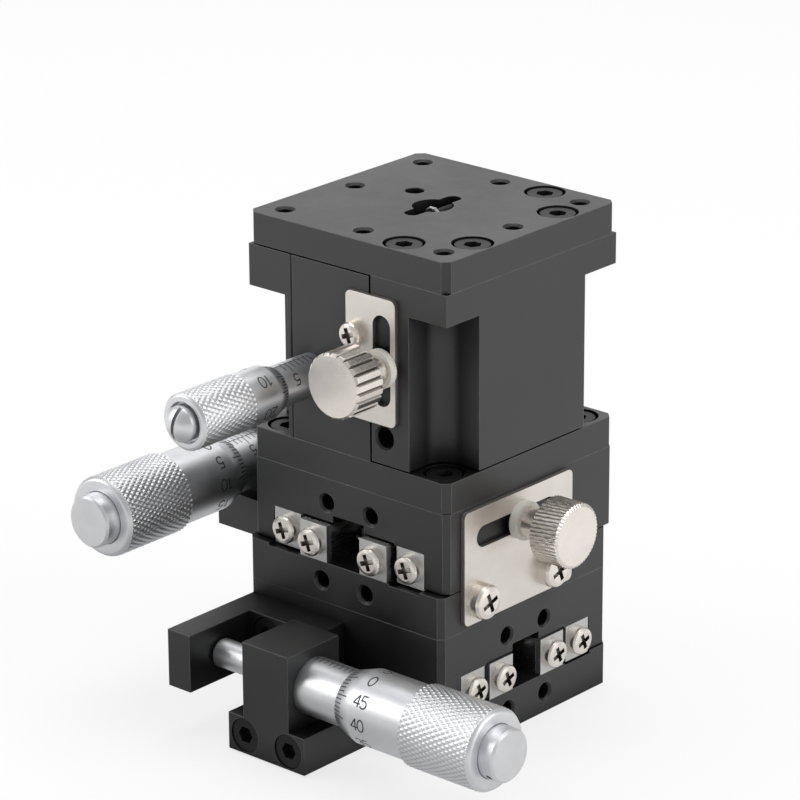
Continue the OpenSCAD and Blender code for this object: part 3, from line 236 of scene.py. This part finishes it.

# reach and the darkest share set how far and how deep the painted shade in recesses goes
metals = {
    "satinChromeX": {"dark": (0.70, 0.71, 0.73), "pale": (0.80, 0.81, 0.83), "roughness": (0.34, 0.46),
                     "grain": 9000, "lines": alongX, "lineDepth": 0.004 * mm,
                     "reach": 0.5 * mm, "darkestShade": 0.5},
    "satinChromeY": {"dark": (0.68, 0.69, 0.71), "pale": (0.78, 0.79, 0.81), "roughness": (0.34, 0.46),
                     "grain": 9000, "lines": alongY, "lineDepth": 0.004 * mm,
                     "reach": 0.5 * mm, "darkestShade": 0.5},
    "nickelPlate": {"dark": (0.70, 0.655, 0.61), "pale": (0.79, 0.745, 0.70), "roughness": (0.32, 0.44),
                    "grain": 6000, "lines": lengthwise, "lineDepth": 0.004 * mm},
    "nickelTurned": {"dark": (0.77, 0.72, 0.66), "pale": (0.88, 0.83, 0.77), "roughness": (0.24, 0.36),
                     "grain": 7000, "lines": everyWay, "lineDepth": 0.003 * mm,
                     "reach": 1.2 * mm, "darkestShade": 0.24},
    "zincPlate": {"dark": (0.52, 0.52, 0.51), "pale": (0.66, 0.66, 0.65), "roughness": (0.38, 0.52),
                  "grain": 5000, "lines": everyWay, "lineDepth": 0.006 * mm},
    "groundSteel": {"dark": (0.46, 0.46, 0.45), "pale": (0.58, 0.58, 0.56), "roughness": (0.22, 0.36),
                    "grain": 6000, "lines": lengthwise, "lineDepth": 0.003 * mm},
    "blackOxide": {"dark": (0.006, 0.006, 0.0065), "pale": (0.012, 0.012, 0.0125), "roughness": (0.38, 0.5),
                   "grain": 5000, "lines": everyWay, "lineDepth": 0.006 * mm, "edgeRadius": 0.12 * mm,
                   "metallic": 0, "specular": 0.25},
    "brassCage": {"dark": (0.55, 0.42, 0.20), "pale": (0.66, 0.52, 0.28), "roughness": (0.28, 0.42),
                  "grain": 5000, "lines": everyWay, "lineDepth": 0.004 * mm},
    "springWire": {"dark": (0.44, 0.44, 0.43), "pale": (0.60, 0.60, 0.58), "roughness": (0.25, 0.4),
                   "grain": 8000, "lines": everyWay, "lineDepth": 0.002 * mm},
}


# Milky nylon of the washers, which lets a little light through
nylon = {
    "ior": 1.53, "through": 0.15, "throughReach": 0.4 * mm, "edgeRadius": 0.15 * mm,
    "dark": (0.66, 0.64, 0.58), "pale": (0.76, 0.74, 0.68), "patches": 300,
    "roughness": (0.38, 0.55), "grain": 2500, "grainDepth": 0.01 * mm, "grainStrength": 0.4,
}


def makeNylon():
    made = nylon
    material, tree, shader = newFinish("nylon", {
        "Metallic": 0, "IOR": made["ior"], "Subsurface Weight": made["through"],
        "Subsurface Scale": made["throughReach"]})
    rounded = roundedEdges(tree, made["edgeRadius"])
    patches = grainNoise(tree, made["patches"], detail=4)
    colour = blendColours(tree, spread(tree, patches, 0, 1), made["dark"], made["pale"])
    tree.links.new(colour, shader.inputs["Base Color"])
    low, high = made["roughness"]
    tree.links.new(spread(tree, patches, low, high), shader.inputs["Roughness"])
    addBump(tree, shader, grainNoise(tree, made["grain"]), made["grainDepth"], made["grainStrength"], rounded)
    return material


# Black filling of the engraved lines and numbers
engraving = {
    "dark": (0.018, 0.018, 0.02), "pale": (0.05, 0.05, 0.055), "patches": 1800, "roughness": (0.45, 0.7),
}


def makeEngraving():
    made = engraving
    material, tree, shader = newFinish("engravingFill", {"Metallic": 0})
    patches = grainNoise(tree, made["patches"], detail=4)
    colour = blendColours(tree, spread(tree, patches, 0, 1), made["dark"], made["pale"])
    tree.links.new(colour, shader.inputs["Base Color"])
    low, high = made["roughness"]
    tree.links.new(spread(tree, patches, low, high), shader.inputs["Roughness"])
    return material


finishes = {name: makeLinedMetal(name, made) for name, made in metals.items()}
finishes["blackAnodised"] = makeBlackAnodised()
finishes["nylon"] = makeNylon()
finishes["engravingFill"] = makeEngraving()
slotFinish = {
    "black_anodised": "blackAnodised", "rail_steel": "groundSteel", "stop_plate": "zincPlate",
    "nickel": "nickelTurned", "black_oxide": "blackOxide", "satin_chrome": "satinChromeY",
    "nylon": "nylon", "brass_cage": "brassCage", "spring_wire": "springWire",
}


def dressNodes():
    for name, node in nodes.items():
        for slot in node.material_slots:
            finish = slotFinish[slot.material.name.split(".")[0]]
            if finish == "satinChromeY" and name.startswith("x_"):
                finish = "satinChromeX"
            if name.endswith("lock_plate"):
                finish = "nickelPlate"
            if name == "z_spring_pin":
                finish = "blackOxide"
            slot.material = finishes[finish]


setCamera()
dressNodes()
print("camera set, materials on every node")


# Micrometer heads. along runs out from the thimble's edge and angle from the top, in mm and degrees
def makeHead(thimble, body, marksBody, outward):
    low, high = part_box(thimble)
    middle = (low + high) / 2
    edge = Vector((low.x, middle.y, middle.z)) if outward.x else Vector((middle.x, high.y, middle.z))
    return {"edge": edge, "outward": outward, "side": outward.cross(Vector((0, 0, 1))),
            "thimble": thimble, "body": body, "marksBody": marksBody}


def pointOn(head, along, radius, angle):
    turn = math.radians(angle)
    spoke = Vector((0, 0, 1)) * math.cos(turn) + head["side"] * math.sin(turn)
    return head["edge"] + (head["outward"] * along + spoke * radius) * mm


def faceOut(mesh):
    shape = bmesh.new()
    shape.from_mesh(mesh)
    bmesh.ops.recalc_face_normals(shape, faces=shape.faces)
    shape.to_mesh(mesh)
    shape.free()


def addMesh(name, vertices, faces, finish, smooth):
    mesh = bpy.data.meshes.new(name)
    mesh.from_pydata(vertices, [], faces)
    mesh.validate()
    mesh.update()
    if smooth:
        faceOut(mesh)
        mesh.shade_smooth()
    mesh.materials.append(finishes[finish])
    piece = bpy.data.objects.new(name, mesh)
    bpy.context.scene.collection.objects.link(piece)
    return piece


# Rings of points round an axis, joined into one closed skin.
# Each ring is its place along the axis and a list of radii. A closed skin runs back to its first ring
def lathe(head, rings, closed):
    vertices = []
    faces = []
    count = len(rings[0][1])
    for along, radii in rings:
        for index, radius in enumerate(radii):
            vertices.append(pointOn(head, along, radius, 360 * index / count))
    last = len(rings) if closed else len(rings) - 1
    for ring in range(last):
        near = ring * count
        far = (ring + 1) % len(rings) * count
        for index in range(count):
            after = (index + 1) % count
            faces.append((near + index, far + index, far + after, near + after))
    if not closed:
        faces.append(tuple(range(count)))
        faces.append(tuple(reversed(range(len(vertices) - count, len(vertices)))))
    return vertices, faces


# What both sizes of thimble share: bevels at the corners, angles round the end, how full a diamond is,
# and the angle from which a corner stays sharp
thimbleCorners = {
    "edge": 0.05, "behindBevel": 0.15, "beforeStep": 0.1, "behindKnurl": 0.12, "rim": 0.1,
    "roundAngles": (20, 45, 70, 90), "fullness": 0.7, "sharpFrom": 28,
}


# Height of a diamond between its groove, 0, and its top, 1. Both families of grooves are counted in grooves
def diamondHeight(first, second):
    gap = min(abs(first - round(first)), abs(second - round(second)))
    return min(1, gap * 2) ** thimbleCorners["fullness"]


def knurlRings(made):
    count = made["diamonds"] * made["steps"]
    widthEach = math.pi * made["knurlD"] / made["diamonds"]
    lengthEach = widthEach / math.tan(math.radians(made["knurlAngle"]))
    start = made["plain"] + made["step"]
    end = made["length"] - made["endRound"]
    rows = math.ceil((end - start) / (lengthEach / made["steps"]))
    rings = []
    for row in range(rows + 1):
        along = start + (end - start) * row / rows
        radii = []
        for index in range(count):
            around = index / made["steps"]
            down = row / made["steps"]
            height = diamondHeight(around + down, around - down)
            radii.append(made["knurlD"] / 2 - made["knurlDepth"] * (1 - height))
        rings.append((along, radii))
    return rings


# From the thimble's edge over the bevel, the plain part and the knurl to its end, and back inside
def thimbleRings(made):
    count = made["diamonds"] * made["steps"]
    corners = thimbleCorners
    edge, rim = corners["edge"], corners["rim"]
    end = made["length"]
    groove = made["knurlD"] - 2 * made["knurlDepth"]

    def plain(along, diameter):
        return (along, [diameter / 2] * count)

    rings = [plain(0, made["boreD"]), plain(0, made["edgeD"] - 2 * edge), plain(edge, made["edgeD"])]
    rings.append(plain(made["bevel"], made["bodyD"]))
    rings.append(plain(made["bevel"] + corners["behindBevel"], made["bodyD"]))
    rings.append(plain(made["plain"] - corners["beforeStep"], made["bodyD"]))
    rings.append(plain(made["plain"], made["bodyD"]))
    rings += knurlRings(made)
    rings.append(plain(end - made["endRound"] + corners["behindKnurl"], groove + rim))
    for angle in corners["roundAngles"]:
        turn = math.radians(angle)
        reach = groove / 2 - made["endRound"] * (1 - math.cos(turn))
        rings.append(plain(end - made["endRound"] * (1 - math.sin(turn)), 2 * reach))
    rings.append(plain(end, made["recessD"] + 2 * rim))
    rings.append(plain(end - rim, made["recessD"]))
    rings.append(plain(end - made["recess"], made["recessD"]))
    rings.append(plain(end - made["recess"], made["spindleD"]))
    rings.append(plain(end - made["wall"], made["spindleD"]))
    rings.append(plain(end - made["wall"], made["boreD"]))
    return rings


largeThimble = {
    "edgeD": 9.6, "bodyD": 11.9, "knurlD": 13.1, "boreD": 9.2, "spindleD": 4.6, "recessD": 8.5,
    "bevel": 3.5, "plain": 13.8, "step": 0.3, "length": 27.8, "wall": 2, "recess": 0.3, "endRound": 0.7,
    "diamonds": 48, "steps": 6, "knurlAngle": 30, "knurlDepth": 0.17,
    "divisions": 50, "numberEvery": 5, "mark": 1.5, "longMark": 2.5, "markWidth": 0.18,
    "numberAt": 5.6, "numberHeight": 1.95, "numberStroke": 0.24,
}
smallThimble = {
    "edgeD": 7.1, "bodyD": 8.6, "knurlD": 9.0, "boreD": 6.8, "spindleD": 3.5, "recessD": 6.4,
    "bevel": 2.2, "plain": 7.7, "step": 0.2, "length": 19.1, "wall": 3.2, "recess": 1, "endRound": 0.5,
    "diamonds": 34, "steps": 6, "knurlAngle": 30, "knurlDepth": 0.13,
    "divisions": 50, "numberEvery": 10, "mark": 1.2, "longMark": 2.0, "markWidth": 0.16,
    "numberAt": 4.4, "numberHeight": 1.9, "numberStroke": 0.23,
}


def makeThimble(head, made, name, finish):
    vertices, faces = lathe(head, thimbleRings(made), True)
    piece = addMesh(name, vertices, faces, finish, True)
    piece.data.set_sharp_from_angle(angle=math.radians(thimbleCorners["sharpFrom"]))
    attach(piece, head["body"])
    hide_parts(head["thimble"])


# Numbers cut with a round-nosed tool: each digit is a few lines in a field 0.6 wide and 1 high
def arc(centreX, centreY, radius, start, end, steps=14):
    turns = [math.radians(start + (end - start) * step / steps) for step in range(steps + 1)]
    return [(centreX + radius * math.cos(turn), centreY + radius * math.sin(turn)) for turn in turns]


digitLines = {
    "0": [[(0.3 + 0.3 * math.cos(math.radians(turn)), 0.5 + 0.5 * math.sin(math.radians(turn)))
           for turn in range(0, 361, 20)]],
    "1": [[(0.12, 0.78), (0.36, 1), (0.36, 0)]],
    "2": [arc(0.3, 0.7, 0.3, 165, -35) + [(0, 0), (0.62, 0)]],
    "3": [arc(0.3, 0.76, 0.24, 150, -90), arc(0.3, 0.27, 0.27, 90, -150)],
    "4": [[(0.44, 0), (0.44, 1), (0, 0.3), (0.64, 0.3)]],
    "5": [[(0.56, 1), (0.12, 1), (0.05, 0.56)] + arc(0.29, 0.32, 0.31, 125, -150)],
}


def refined(line, step):
    points = [line[0]]
    for start, end in zip(line, line[1:]):
        pieces = max(1, math.ceil(math.dist(start, end) / step))
        for piece in range(1, pieces + 1):
            share = piece / pieces
            points.append((start[0] + (end[0] - start[0]) * share, start[1] + (end[1] - start[1]) * share))
    return points


# What all marks share: length of a ribbon's pieces, height above the metal, a digit's field in shares of its
# height, where marks start, how far under their middle the edge lies, and which marks are long
markLook = {
    "piece": 0.2, "lift": 0.008, "field": 0.66, "fieldStart": 0.03, "fromEdge": 0.12, "rise": 0.4,
    "beforeZero": 0.4, "longEvery": 5,
}
degreesPerRadian = 57.3


# A flat ribbon along a line, laid on the surface that place(x, y) gives
def addRibbon(vertices, faces, line, width, place):
    points = refined(line, markLook["piece"])
    first = len(vertices)
    for index, (x, y) in enumerate(points):
        before = points[max(0, index - 1)]
        after = points[min(len(points) - 1, index + 1)]
        runX, runY = after[0] - before[0], after[1] - before[1]
        length = math.hypot(runX, runY)
        offX, offY = -runY / length * width / 2, runX / length * width / 2
        vertices.append(place(x + offX, y + offY))
        vertices.append(place(x - offX, y - offY))
    for index in range(len(points) - 1):
        near = first + 2 * index
        faces.append((near, near + 1, near + 3, near + 2))


def addNumber(vertices, faces, text, height, stroke, place):
    advance = markLook["field"] * height
    start = -advance * len(text) / 2 + markLook["fieldStart"] * height
    for index, digit in enumerate(text):
        for line in digitLines[digit]:
            moved = [(start + index * advance + x * height, (y - 0.5) * height) for x, y in line]
            addRibbon(vertices, faces, moved, stroke, place)


# Lines and numbers round a thimble. zeroAngle is where its 0 stands, and the numbers grow against the angle
def makeThimbleMarks(head, made, zeroAngle, name):
    vertices = []
    faces = []
    slope = (made["bodyD"] - made["edgeD"]) / 2 / made["bevel"]

    def place(along, angle):
        radius = min(made["edgeD"] / 2 + slope * along, made["bodyD"] / 2)
        return pointOn(head, along, radius + markLook["lift"], angle)

    onBevel = degreesPerRadian / (made["edgeD"] / 2 + markLook["rise"])
    onBody = degreesPerRadian / (made["bodyD"] / 2)
    for division in range(made["divisions"]):
        angle = zeroAngle - 360 / made["divisions"] * division
        numbered = division % made["numberEvery"] == 0
        long = numbered or division % markLook["longEvery"] == 0
        end = made["longMark"] if long else made["mark"]
        addRibbon(vertices, faces, [(markLook["fromEdge"], 0), (end, 0)], made["markWidth"],
                  lambda x, y, middle=angle: place(x, middle - y * onBevel))
        if numbered:
            addNumber(vertices, faces, str(division), made["numberHeight"], made["numberStroke"],
                      lambda x, y, middle=angle: place(made["numberAt"] + x, middle - y * onBody))
    piece = addMesh(name, vertices, faces, "engravingFill", False)
    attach(piece, head["body"])


# Scale along a sleeve: a line, millimetre marks on one side with numbers, half millimetres on the other
def makeSleeveMarks(head, made, name):
    vertices = []
    faces = []
    perMm = degreesPerRadian / (made["sleeveD"] / 2)
    width = made["markWidth"]

    def place(along, up):
        radius = made["sleeveD"] / 2 + markLook["lift"]
        return pointOn(head, along, radius, made["lineAngle"] - up * perMm)

    zero = made["zeroAt"]
    addRibbon(vertices, faces, [(zero - markLook["beforeZero"], 0), (made["lineEnd"], 0)], width, place)
    for step in range(made["marks"] + 1):
        long = step % markLook["longEvery"] == 0
        length = made["longMark"] if long else made["mark"]
        addRibbon(vertices, faces, [(zero + step, 0), (zero + step, length)], width, place)
        if step < made["marks"]:
            half = zero + step + 0.5
            addRibbon(vertices, faces, [(half, 0), (half, -made["halfMark"])], width, place)
        if long:
            addNumber(vertices, faces, str(step), made["numberHeight"], made["numberStroke"],
                      lambda x, y, at=step: place(zero + at + x, made["numberUp"] + y))
    piece = addMesh(name, vertices, faces, "engravingFill", False)
    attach(piece, head["marksBody"])


largeScale = {
    "sleeveD": 9.1, "lineAngle": -8, "zeroAt": -8.3, "lineEnd": 14, "marks": 13, "mark": 1.2,
    "longMark": 1.9, "halfMark": 1.2, "markWidth": 0.16, "numberUp": 3.1, "numberHeight": 1.7,
    "numberStroke": 0.22,
}
smallScale = {
    "sleeveD": 6.7, "lineAngle": -3, "zeroAt": -7.6, "lineEnd": 4.5, "marks": 6, "mark": 1.45,
    "longMark": 2.05, "halfMark": 0.9, "markWidth": 0.15, "numberUp": 3.4, "numberHeight": 1.8,
    "numberStroke": 0.22,
}

outX = Vector((1, 0, 0))
outFront = Vector((0, -1, 0))
xHead = makeHead("x_thimble", "x_thimble", "base", outX)
yHead = makeHead("y_thimble", "y_thimble", "x_stage", outFront)
zHead = makeHead("z_thimble", "z_thimble", "y_stage", outFront)
makeThimble(xHead, largeThimble, "xThimbleKnurled", "satinChromeX")
makeThimble(yHead, largeThimble, "yThimbleKnurled", "satinChromeY")
makeThimble(zHead, smallThimble, "zThimbleKnurled", "satinChromeY")
print("thimbles made")
zeroAngles = {"x": 22, "y": -14, "z": 30}
makeThimbleMarks(xHead, largeThimble, zeroAngles["x"], "xThimbleScale")
makeThimbleMarks(yHead, largeThimble, zeroAngles["y"], "yThimbleScale")
makeThimbleMarks(zHead, smallThimble, zeroAngles["z"], "zThimbleScale")
makeSleeveMarks(xHead, largeScale, "xSleeveScale")
makeSleeveMarks(yHead, largeScale, "ySleeveScale")
makeSleeveMarks(zHead, smallScale, "zSleeveScale")
print("scales made")


# Lock knobs of X and Y: a stud, a neck, and a head with fine, slightly slanted grooves.
# Along the head a groove moves round by slant / slantOf of its width, and its depth varies a little.
# The ends close on a ring of the tip's diameter
fineKnob = {
    "knobD": 10.4, "knobL": 5.5, "neckD": 4.9, "studD": 2.9, "neckL": 4.15, "tip": 0.02,
    "grooves": 52, "steps": 8, "rows": 10, "grooveDepth": 0.25, "slant": 5, "slantOf": 6,
    "edge": 0.3, "bevel": 0.15, "sharpFrom": 30,
    "depthMean": 0.8, "depthSwing": 0.2, "swingRound": 0.37, "swingAlong": 1.9,
}


def makeFineKnob(node, body, outward, name):
    made = fineKnob
    low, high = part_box(node)
    middle = (low + high) / 2
    if outward.x:
        foot = Vector((low.x, middle.y, middle.z))
        total = (high.x - low.x) / mm
    else:
        foot = Vector((middle.x, low.y, middle.z))
        total = (high.y - low.y) / mm
    axis = {"edge": foot, "outward": outward, "side": outward.cross(Vector((0, 0, 1)))}
    count = made["grooves"] * made["steps"]
    back = total - made["knobL"]

    def plain(along, diameter):
        return (along, [diameter / 2] * count)

    bevel = made["bevel"]
    neck = back - made["neckL"]
    rings = [plain(0, made["tip"]), plain(0, made["studD"] - 2 * bevel), plain(bevel, made["studD"])]
    rings.append(plain(neck, made["studD"]))
    rings.append(plain(neck, made["neckD"] - 2 * bevel))
    rings.append(plain(neck + bevel, made["neckD"]))
    rings.append(plain(back, made["neckD"]))
    inner = made["knobD"] - 2 * made["grooveDepth"] - 2 * made["edge"]
    rings.append(plain(back, inner))
    for row in range(made["rows"] + 1):
        share = row / made["rows"]
        along = back + made["edge"] + (made["knobL"] - 2 * made["edge"]) * share
        radii = []
        for index in range(count):
            turns = index / made["steps"] + made["slant"] * (share - 0.5) / made["slantOf"]
            height = 0.5 + 0.5 * math.cos(2 * math.pi * turns)
            swing = math.sin(index * made["swingRound"] + row * made["swingAlong"])
            uneven = made["depthMean"] + made["depthSwing"] * swing
            radii.append(made["knobD"] / 2 - made["grooveDepth"] * (1 - height) * uneven)
        rings.append((along, radii))
    rings.append(plain(total, inner))
    rings.append(plain(total, made["tip"]))
    vertices, faces = lathe(axis, rings, False)
    piece = addMesh(name, vertices, faces, "nickelTurned", True)
    piece.data.set_sharp_from_angle(angle=math.radians(made["sharpFrom"]))
    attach(piece, body)
    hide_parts(node)


makeFineKnob("x_lock_knob", "x_lock_knob", Vector((0, 1, 0)), "xLockKnobKnurled")
makeFineKnob("y_lock_knob", "y_lock_knob", outX, "yLockKnobKnurled")
print("lock knobs made")


# Floor and light: a pale bench and large soft lamps.
# Mirrored in the stage, the bench carries a painted shadow: it darkens towards a spot at the stage's front
floorLook = {
    "size": 6, "colour": (0.86, 0.86, 0.86), "roughness": 0.9, "shine": 0.1, "glow": 0.76,
    "paintedShadowSpot": (-0.02, -0.05, 0), "paintedShadowReach": 0.14, "darkestShade": 0.38,
}


def makeFloor():
    made = floorLook
    half = made["size"] / 2
    corners = [(-half, -half, 0), (half, -half, 0), (half, half, 0), (-half, half, 0)]
    mesh = bpy.data.meshes.new("floor")
    mesh.from_pydata(corners, [], [(0, 1, 2, 3)])
    finish = {"Roughness": made["roughness"], "Specular IOR Level": made["shine"]}
    material, tree, shader = newFinish("floorPaint", finish)
    shader.inputs["Base Color"].default_value = (*made["colour"], 1)
    rays = addNode(tree, "LightPath")
    place = addNode(tree, "TexCoord")
    # Painted shadow seen in reflections: the glow drops towards the spot at the stage's front, down to the
    # darkest share
    distance = addNode(tree, "VectorMath", {"operation": "DISTANCE"})
    distance.inputs[1].default_value = made["paintedShadowSpot"]
    tree.links.new(place.outputs["Object"], distance.inputs[0])
    reflectedShadow = spread(tree, distance.outputs["Value"], made["darkestShade"], 1, 0, made["paintedShadowReach"])
    strength = addNode(tree, "Math", {"operation": "MAXIMUM"})
    tree.links.new(rays.outputs["Is Camera Ray"], strength.inputs[0])
    tree.links.new(reflectedShadow, strength.inputs[1])
    white = addNode(tree, "Emission", values={"Color": (1, 1, 1, 1)})
    tree.links.new(strength.outputs["Value"], white.inputs["Strength"])
    seen = addNode(tree, "Math", {"operation": "MAXIMUM"})
    glow = addNode(tree, "Math", {"operation": "MULTIPLY"}, {1: made["glow"]})
    share = addNode(tree, "Math", {"operation": "MAXIMUM"})
    tree.links.new(rays.outputs["Is Camera Ray"], seen.inputs[0])
    tree.links.new(rays.outputs["Is Transmission Ray"], seen.inputs[1])
    tree.links.new(seen.outputs["Value"], glow.inputs[0])
    tree.links.new(glow.outputs["Value"], share.inputs[0])
    tree.links.new(rays.outputs["Is Glossy Ray"], share.inputs[1])
    both = addNode(tree, "MixShader")
    tree.links.new(share.outputs["Value"], both.inputs["Fac"])
    tree.links.new(shader.outputs["BSDF"], both.inputs[1])
    tree.links.new(white.outputs["Emission"], both.inputs[2])
    tree.links.new(both.outputs["Shader"], tree.nodes["Material Output"].inputs["Surface"])
    mesh.materials.append(material)
    floor = bpy.data.objects.new("floor", mesh)
    bpy.context.scene.collection.objects.link(floor)


lamps = {
    "overhead": {"place": (-0.1, 0.1, 0.75), "size": 0.6, "power": 3},
    "back": {"place": (-0.75, 0.85, 0.42), "size": 0.7, "power": 1},
    "left": {"place": (-0.7, -0.55, 0.45), "size": 0.5, "power": 2.5},
    "right": {"place": (0.8, 0.25, 0.4), "size": 0.5, "power": 2.8},
}
lampTarget = Vector((0, 0, 0.04))
worldStrength = 0.5


def makeLamps():
    for name, made in lamps.items():
        lamp = bpy.data.lights.new(name, "AREA")
        lamp.size = made["size"]
        lamp.energy = made["power"]
        light = bpy.data.objects.new(name, lamp)
        bpy.context.scene.collection.objects.link(light)
        light.location = made["place"]
        light.rotation_euler = (lampTarget - light.location).to_track_quat("-Z", "Y").to_euler()


def makeWorld():
    world = bpy.data.worlds.new("studio")
    world.use_nodes = True
    ground = world.node_tree.nodes["Background"]
    ground.inputs["Color"].default_value = (1, 1, 1, 1)
    ground.inputs["Strength"].default_value = worldStrength
    bpy.context.scene.world = world


makeFloor()
makeLamps()
makeWorld()
bpy.context.scene.view_settings.view_transform = "Standard"
print("floor and lamps made")
